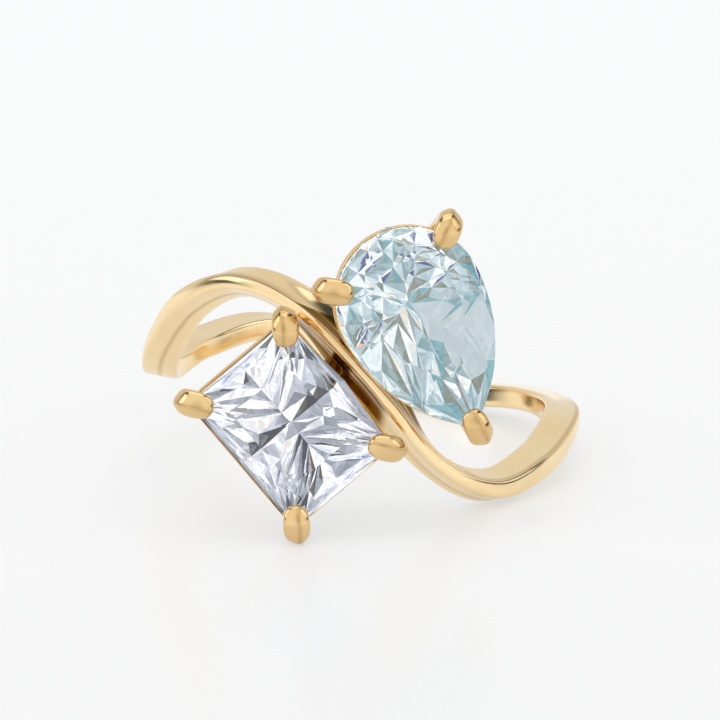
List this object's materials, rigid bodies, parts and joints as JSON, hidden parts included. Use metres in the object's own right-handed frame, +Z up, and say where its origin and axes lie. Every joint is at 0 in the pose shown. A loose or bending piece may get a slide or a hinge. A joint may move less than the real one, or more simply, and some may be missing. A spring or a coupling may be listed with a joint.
{
  "type": "toi et moi ring",
  "caption": "Bypass ring of polished yellow metal whose band crosses between a colourless radiant stone and a pale blue pear stone, each held by claws, with a round finger hole.",
  "frame": {"origin": "middle of the bounding box in X and Y, on the surface on which the ring lies", "axes": "+Z up from the surface, -Y towards the side with the stones, X across the head. The finger axis leans about 12 degrees from +Z, because the ring lies on a claw, a shoulder and the back of its band"},
  "size_m": [0.0196, 0.0232, 0.0142],
  "materials": {
    "yellow_gold": "polished yellow gold",
    "clear_stone": "cut and polished, colourless",
    "pale_blue_stone": "cut and polished, pale aqua blue"
  },
  "bodies": {
    "root": {"gold_ring": "yellow_gold", "radiant_stone": "clear_stone", "pear_stone": "pale_blue_stone"}
  },
  "joints": []
}
